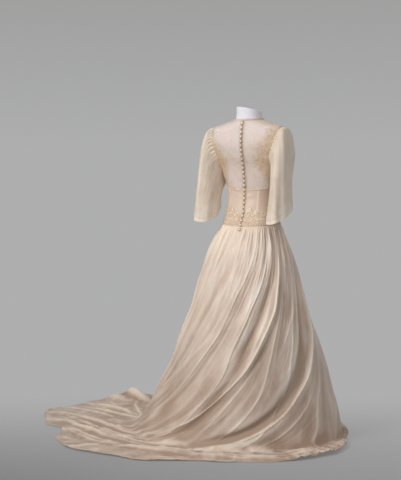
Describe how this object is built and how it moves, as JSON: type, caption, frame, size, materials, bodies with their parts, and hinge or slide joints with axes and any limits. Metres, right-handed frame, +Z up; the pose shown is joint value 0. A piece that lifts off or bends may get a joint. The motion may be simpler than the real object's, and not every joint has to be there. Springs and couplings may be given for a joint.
{
  "type": "wedding dress on a limbless dress form",
  "caption": "Long ivory silk wedding gown with sheer buttoned back, gathered elbow sleeves and a swept train, worn by a limbless dress form on a stand.",
  "frame": {"origin": "on the floor under the stand's pole, in the flat underside of the stand's base", "axes": "+Z up, -Y the way the wearer's front faces, +X the wearer's left, toward the train"},
  "size_m": [1.5003, 1.1008, 1.459],
  "materials": {
    "ivory_silk": "crisp silk with a soft sheen",
    "ivory_satin": "smooth satin",
    "sheer_yoke": "sheer silk net with fine lace",
    "ivory_lace": "matt cotton lace",
    "form_jersey": "smooth white jersey over a stiff form",
    "stand_steel": "satin grey"
  },
  "bodies": {
    "root": {"back_yoke_left": "sheer_yoke", "back_yoke_right": "sheer_yoke", "button_01": "ivory_satin", "button_02": "ivory_satin", "button_03": "ivory_satin", "button_04": "ivory_satin", "button_05": "ivory_satin", "button_06": "ivory_satin", "button_07": "ivory_satin", "button_08": "ivory_satin", "button_09": "ivory_satin", "button_10": "ivory_satin", "button_11": "ivory_satin", "button_12": "ivory_satin", "button_13": "ivory_satin", "button_14": "ivory_satin", "button_15": "ivory_satin", "button_16": "ivory_satin", "button_17": "ivory_satin", "button_18": "ivory_satin", "button_19": "ivory_satin", "button_20": "ivory_satin", "button_21": "ivory_satin", "button_22": "ivory_satin", "button_23": "ivory_satin", "button_24": "ivory_satin", "button_25": "ivory_satin", "form_base": "stand_steel", "form_pole": "stand_steel", "form_torso": "form_jersey", "front_yoke": "sheer_yoke", "midriff_back_left": "ivory_satin", "midriff_back_right": "ivory_satin", "midriff_front": "ivory_satin", "neck_binding": "ivory_satin", "skirt_back_left": "ivory_silk", "skirt_back_right": "ivory_silk", "skirt_front_left": "ivory_silk", "skirt_front_right": "ivory_silk", "skirt_side_left": "ivory_silk", "skirt_side_right": "ivory_silk", "sleeve_left": "ivory_silk", "sleeve_right": "ivory_silk", "waist_lace_left": "ivory_lace", "waist_lace_right": "ivory_lace"}
  },
  "joints": []
}
